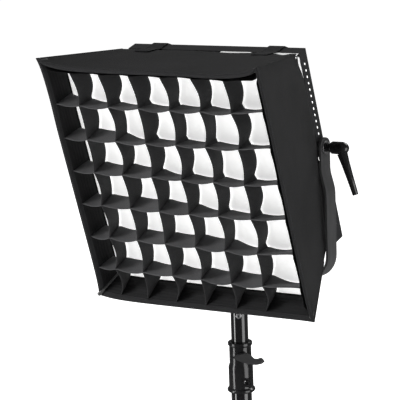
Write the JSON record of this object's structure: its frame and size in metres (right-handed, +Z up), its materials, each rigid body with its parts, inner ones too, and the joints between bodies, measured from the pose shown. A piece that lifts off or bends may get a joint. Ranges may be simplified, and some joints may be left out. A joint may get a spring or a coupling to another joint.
{
  "type": "grid softbox on an LED panel with yoke and stand top",
  "caption": "Flared square fabric softbox with a diffuser and egg-crate grid, strapped to a slim LED panel that tilts in a U yoke on the top of a telescopic light stand.",
  "frame": {"origin": "centre of the lower stand tube's bottom end", "axes": "+Z up along the stand, -Y the way the softbox faces, +X to the right as seen from the front"},
  "size_m": [0.4028, 0.2735, 0.6407],
  "materials": {
    "fabric_black": "matt woven polyester",
    "fabric_white": "white diffusion cloth",
    "webbing_black": "woven binding and webbing",
    "metal_black": "satin black powder coat",
    "tube_black": "gloss black",
    "plastic_black": "moulded, satin",
    "steel": "bright plated",
    "fibreglass": "pultruded rod",
    "acrylic": "opal",
    "circuit_board": "white solder mask",
    "circuit_green": "green solder mask",
    "screen": "dark window",
    "nylon": "plain"
  },
  "bodies": {
    "stand": {"lower_tube": "tube_black", "stand_collar": "plastic_black", "collar_screw": "metal_black"},
    "wing_lever": {"collar_wing_lever": "plastic_black"},
    "riser": {"riser_tube": "tube_black", "spigot": "steel", "riser_rivet": "steel"},
    "yoke": {"yoke_bar": "metal_black", "stand_receiver": "metal_black", "receiver_bolt": "steel", "arm_spacer_left": "nylon", "arm_spacer_right": "nylon", "arm_washer_left": "steel", "arm_washer_right": "steel"},
    "receiver_screw": {"receiver_t_screw": "metal_black"},
    "stud_left": {"clamp_stud_left": "metal_black"},
    "stud_right": {"clamp_stud_right": "metal_black"},
    "lever_left": {"lever_handle_left": "metal_black"},
    "lever_right": {"lever_handle_right": "metal_black"},
    "head": {"panel_frame": "metal_black", "front_bezel": "plastic_black", "light_plate": "acrylic", "led_board": "circuit_board", "rear_shell": "metal_black", "control_box": "plastic_black", "display_window": "screen", "driver_board": "circuit_green", "power_inlet": "plastic_black", "side_panel_left": "fabric_black", "side_panel_right": "fabric_black", "side_panel_top": "fabric_black", "side_panel_bottom": "fabric_black", "corner_rod_top_left": "fibreglass", "corner_rod_top_right": "fibreglass", "corner_rod_bottom_left": "fibreglass", "corner_rod_bottom_right": "fibreglass", "rear_skirt": "fabric_black", "front_hem": "webbing_black", "diffuser_tape": "webbing_black", "diffuser": "fabric_white", "grid_border": "webbing_black", "grid_strip_upright_1": "fabric_black", "grid_strip_upright_2": "fabric_black", "grid_strip_upright_3": "fabric_black", "grid_strip_upright_4": "fabric_black", "grid_strip_upright_5": "fabric_black", "grid_strip_upright_6": "fabric_black", "grid_strip_level_1": "fabric_black", "grid_strip_level_2": "fabric_black", "grid_strip_level_3": "fabric_black", "grid_strip_level_4": "fabric_black", "grid_strip_level_5": "fabric_black", "grid_strip_level_6": "fabric_black", "strap_top_left": "webbing_black", "strap_top_right": "webbing_black", "strap_bottom_left": "webbing_black", "strap_bottom_right": "webbing_black"},
    "dimmer": {"dimmer_knob": "plastic_black"},
    "colour_control": {"colour_knob": "plastic_black"},
    "switch": {"power_switch": "plastic_black"}
  },
  "joints": [
    {"name": "riser_slide", "type": "slide", "parent": "stand", "child": "riser", "axis": [0, 0, 1], "range_m": [-0.028, 0.09]},
    {"name": "yoke_pan", "type": "hinge", "parent": "riser", "child": "yoke", "pos_m": [0, 0, 0.28], "axis": [0, 0, 1], "continuous": true},
    {"name": "head_tilt", "type": "hinge", "parent": "yoke", "child": "head", "pos_m": [0, 0, 0.5], "axis": [1, 0, 0], "range_deg": [-190, 1]},
    {"name": "collar_lever_turn", "type": "hinge", "parent": "stand", "child": "wing_lever", "pos_m": [0.01439, -0.01389, 0.188], "axis": [0.7193, -0.6947, 0], "range_deg": [0, 150]},
    {"name": "receiver_screw_turn", "type": "hinge", "parent": "yoke", "child": "receiver_screw", "pos_m": [0, 0.02, 0.282], "axis": [0, 1, 0], "range_deg": [0, 540]},
    {"name": "right_lever_turn", "type": "hinge", "parent": "yoke", "child": "stud_right", "pos_m": [0.16, 0, 0.5], "axis": [1, 0, 0], "range_deg": [0, 180]},
    {"name": "right_lever_pull", "type": "slide", "parent": "stud_right", "child": "lever_right", "axis": [1, 0, 0], "range_m": [0, 0.004], "stiffness_N_per_m": 500, "springref_m": -0.002},
    {"name": "left_lever_turn", "type": "hinge", "parent": "yoke", "child": "stud_left", "pos_m": [-0.16, 0, 0.5], "axis": [-1, 0, 0], "range_deg": [0, 180]},
    {"name": "left_lever_pull", "type": "slide", "parent": "stud_left", "child": "lever_left", "axis": [-1, 0, 0], "range_m": [0, 0.004], "stiffness_N_per_m": 500, "springref_m": -0.002},
    {"name": "dimmer_turn", "type": "hinge", "parent": "head", "child": "dimmer", "pos_m": [-0.052, 0.04692, 0.53387], "axis": [0, 0.9527, 0.304], "continuous": true},
    {"name": "colour_turn", "type": "hinge", "parent": "head", "child": "colour_control", "pos_m": [0.052, 0.04692, 0.53387], "axis": [0, 0.9527, 0.304], "continuous": true},
    {"name": "power_switch_rock", "type": "hinge", "parent": "head", "child": "switch", "pos_m": [0.052, 0.0558, 0.48632], "axis": [1, 0, 0], "range_deg": [-13, 0]}
  ]
}
